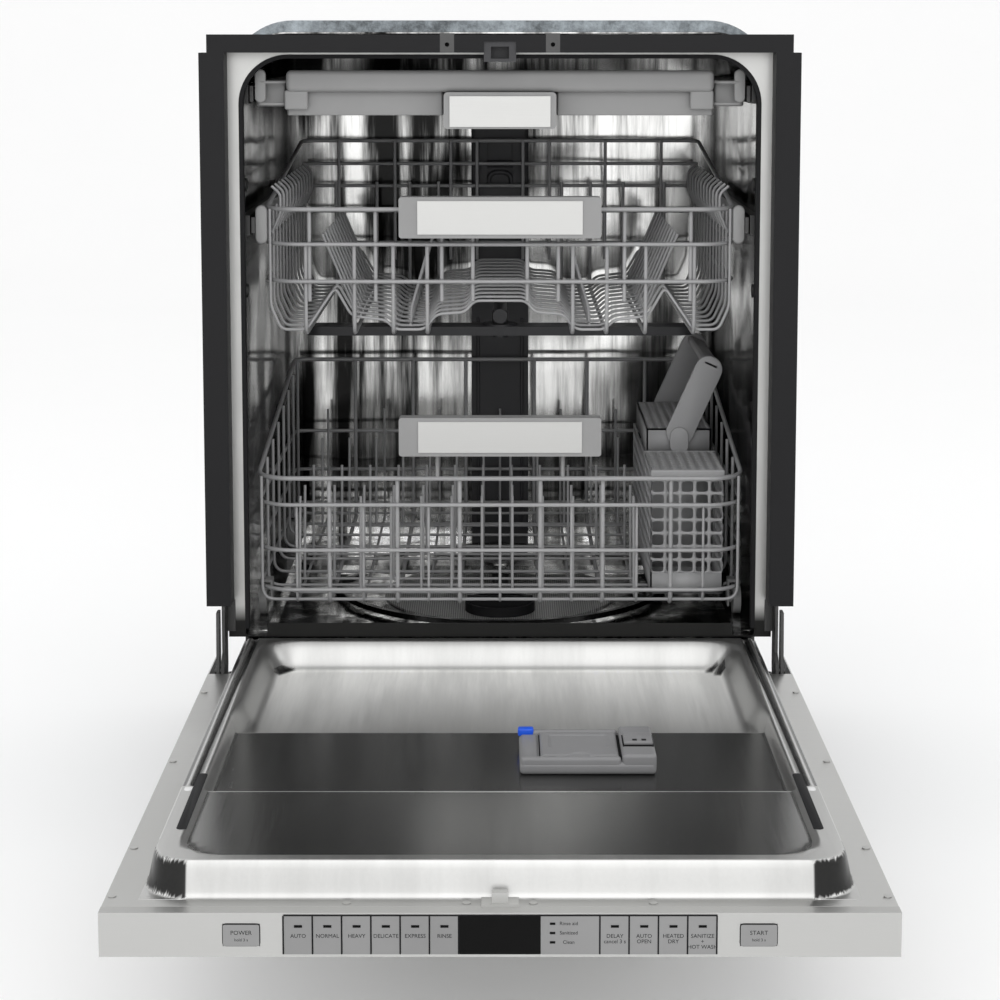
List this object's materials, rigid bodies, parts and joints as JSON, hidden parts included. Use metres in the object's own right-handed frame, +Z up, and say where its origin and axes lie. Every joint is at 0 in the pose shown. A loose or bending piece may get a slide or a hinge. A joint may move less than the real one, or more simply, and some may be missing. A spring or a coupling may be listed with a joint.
{
  "type": "built-in dishwasher",
  "caption": "Built-in dishwasher with a drop-down door on hinges, sliding wire racks, a cutlery tray, spinning spray arms and push buttons on the door edge.",
  "frame": {"origin": "centre of the floor footprint of the machine with its door open", "axes": "+X to the right seen from the front, +Y from the open door to the back, +Z up"},
  "size_m": [0.598, 1.2152, 0.861],
  "materials": {
    "stainless": "polished to satin stainless steel",
    "frame_steel": "satin steel",
    "fascia_steel": "satin brushed steel",
    "inlay_steel": "brushed inlay",
    "black_plastic": "matt black",
    "dark_plastic": "dark grey",
    "grey_plastic": "mid grey",
    "basket_plastic": "grey",
    "coated_wire": "nylon-coated wire",
    "rubber": "soft black",
    "blanket": "felted bitumen blanket",
    "galvanised": "zinc-plated steel",
    "key_plastic": "grey key film",
    "display_glass": "black window",
    "spray_steel": "pressed steel",
    "heater_metal": "dull nickel"
  },
  "bodies": {
    "cabinet": {"base_pan": "black_plastic", "black_trims": "black_plastic", "circulation_pump": "dark_plastic", "counter_brackets": "galvanised", "door_springs": "galvanised", "drain_pump": "dark_plastic", "feed_duct": "dark_plastic", "filter_plate": "stainless", "fixed_rails": "galvanised", "front_frame": "frame_steel", "heater": "heater_metal", "hinge_brackets": "galvanised", "inlet_valve": "dark_plastic", "insulation_blanket": "blanket", "kick_plate": "black_plastic", "latch_housing": "dark_plastic", "spray_posts": "dark_plastic", "sump": "dark_plastic", "tub": "stainless", "tub_gasket": "rubber"},
    "door": {"hinge_arms": "galvanised", "door_outer_panel": "frame_steel", "door_inner_liner": "stainless", "fascia": "fascia_steel", "touch_keys": "key_plastic", "display_window": "display_glass", "latch_strike": "frame_steel", "door_screws": "frame_steel", "dispenser_body": "grey_plastic"},
    "power_button": {"power_button": "fascia_steel"},
    "start_button": {"start_button": "fascia_steel"},
    "detergent_lid": {"detergent_lid": "grey_plastic"},
    "rinse_aid_cap": {"rinse_aid_cap": "grey_plastic"},
    "lower_rack": {"lower_rack_basket": "coated_wire", "lower_rack_handle": "grey_plastic", "lower_handle_plate": "inlay_steel", "wheel_carriers": "grey_plastic", "silverware_basket": "basket_plastic"},
    "front_wheels": {"front_wheels": "grey_plastic"},
    "rear_wheels": {"rear_wheels": "grey_plastic"},
    "lower_fold_tines": {"lower_fold_tines": "coated_wire"},
    "basket_lid": {"basket_lid": "basket_plastic"},
    "basket_bail": {"basket_bail": "basket_plastic"},
    "upper_rack": {"upper_rack_basket": "coated_wire", "upper_rack_handle": "grey_plastic", "upper_handle_plate": "inlay_steel", "mid_feed_tube": "dark_plastic", "upper_rack_carriers": "grey_plastic"},
    "upper_slide_rails": {"upper_slide_rails": "galvanised"},
    "upper_fold_tines_left": {"upper_fold_tines_left": "coated_wire"},
    "upper_fold_tines_right": {"upper_fold_tines_right": "coated_wire"},
    "mid_spray_arm": {"mid_spray_arm": "dark_plastic"},
    "cutlery_tray": {"cutlery_tray": "grey_plastic", "tray_handle": "grey_plastic", "tray_handle_plate": "inlay_steel"},
    "tray_slide_rails": {"tray_slide_rails": "galvanised"},
    "lower_spray_arm": {"lower_spray_arm": "spray_steel"},
    "top_spray_arm": {"top_spray_arm": "dark_plastic"},
    "filter_cup": {"filter_cup": "black_plastic"},
    "levelling_feet": {"levelling_feet": "galvanised"}
  },
  "joints": [
    {"name": "door_hinge", "type": "hinge", "parent": "cabinet", "child": "door", "pos_m": [0, 0.037, 0.201], "axis": [1, 0, 0], "range_deg": [-90, 0], "deforming": ["door_springs"]},
    {"name": "lower_rack_slide", "type": "slide", "parent": "cabinet", "child": "lower_rack", "axis": [0, -1, 0], "range_m": [0, 0.46]},
    {"name": "upper_rack_slide", "type": "slide", "parent": "cabinet", "child": "upper_rack", "axis": [0, -1, 0], "range_m": [0, 0.46]},
    {"name": "cutlery_tray_slide", "type": "slide", "parent": "cabinet", "child": "cutlery_tray", "axis": [0, -1, 0], "range_m": [0, 0.44]},
    {"name": "upper_rail_slide", "type": "slide", "parent": "cabinet", "child": "upper_slide_rails", "axis": [0, -1, 0], "range_m": [0, 0.23]},
    {"name": "tray_rail_slide", "type": "slide", "parent": "cabinet", "child": "tray_slide_rails", "axis": [0, -1, 0], "range_m": [0, 0.22]},
    {"name": "front_wheel_roll", "type": "hinge", "parent": "lower_rack", "child": "front_wheels", "pos_m": [0, 0.157, 0.2466], "axis": [1, 0, 0], "range_deg": [0, 1650]},
    {"name": "rear_wheel_roll", "type": "hinge", "parent": "lower_rack", "child": "rear_wheels", "pos_m": [0, 0.484, 0.2466], "axis": [1, 0, 0], "range_deg": [0, 1650]},
    {"name": "lower_fold_tines_hinge", "type": "hinge", "parent": "lower_rack", "child": "lower_fold_tines", "pos_m": [0, 0.434, 0.26555], "axis": [1, 0, 0], "range_deg": [0, 80]},
    {"name": "basket_lid_hinge", "type": "hinge", "parent": "lower_rack", "child": "basket_lid", "pos_m": [0.1965, 0.223, 0.3931], "axis": [1, 0, 0], "range_deg": [-85, 0]},
    {"name": "basket_bail_hinge", "type": "hinge", "parent": "lower_rack", "child": "basket_bail", "pos_m": [0.1965, 0.2735, 0.4121], "axis": [0, 1, 0], "range_deg": [-48, 0]},
    {"name": "upper_fold_left_hinge", "type": "hinge", "parent": "upper_rack", "child": "upper_fold_tines_left", "pos_m": [-0.15, 0.324, 0.55155], "axis": [0, 1, 0], "range_deg": [0, 40]},
    {"name": "upper_fold_right_hinge", "type": "hinge", "parent": "upper_rack", "child": "upper_fold_tines_right", "pos_m": [0.15, 0.324, 0.55155], "axis": [0, 1, 0], "range_deg": [-40, 0]},
    {"name": "mid_spray_arm_spin", "type": "hinge", "parent": "upper_rack", "child": "mid_spray_arm", "pos_m": [0, 0.324, 0.516], "axis": [0, 0, 1], "continuous": true},
    {"name": "lower_spray_arm_spin", "type": "hinge", "parent": "cabinet", "child": "lower_spray_arm", "pos_m": [0, 0.324, 0.243], "axis": [0, 0, 1], "continuous": true},
    {"name": "top_spray_arm_spin", "type": "hinge", "parent": "cabinet", "child": "top_spray_arm", "pos_m": [0, 0.324, 0.83], "axis": [0, 0, 1], "continuous": true},
    {"name": "filter_cup_turn", "type": "hinge", "parent": "cabinet", "child": "filter_cup", "pos_m": [0, 0.214, 0.218], "axis": [0, 0, 1], "range_deg": [0, 90]},
    {"name": "levelling_feet_screw", "type": "slide", "parent": "cabinet", "child": "levelling_feet", "axis": [0, 0, -1], "range_m": [0, 0.05]},
    {"name": "power_button_press", "type": "slide", "parent": "door", "child": "power_button", "axis": [0, 1, 0], "range_m": [0, 0.001], "stiffness_N_per_m": 400},
    {"name": "start_button_press", "type": "slide", "parent": "door", "child": "start_button", "axis": [0, 1, 0], "range_m": [0, 0.001], "stiffness_N_per_m": 400},
    {"name": "detergent_lid_slide", "type": "slide", "parent": "door", "child": "detergent_lid", "axis": [-1, 0, 0], "range_m": [0, 0.05]},
    {"name": "rinse_aid_cap_hinge", "type": "hinge", "parent": "door", "child": "rinse_aid_cap", "pos_m": [0.132, -0.29084, 0.2335], "axis": [0, 1, 0], "range_deg": [0, 100]}
  ],
  "couplings": [
    {"joint": "upper_rail_slide", "follows": "upper_rack_slide", "ratio": 0.5},
    {"joint": "tray_rail_slide", "follows": "cutlery_tray_slide", "ratio": 0.5},
    {"joint": "front_wheel_roll", "follows": "lower_rack_slide", "rad_per_m": 62.5},
    {"joint": "rear_wheel_roll", "follows": "lower_rack_slide", "rad_per_m": 62.5}
  ]
}
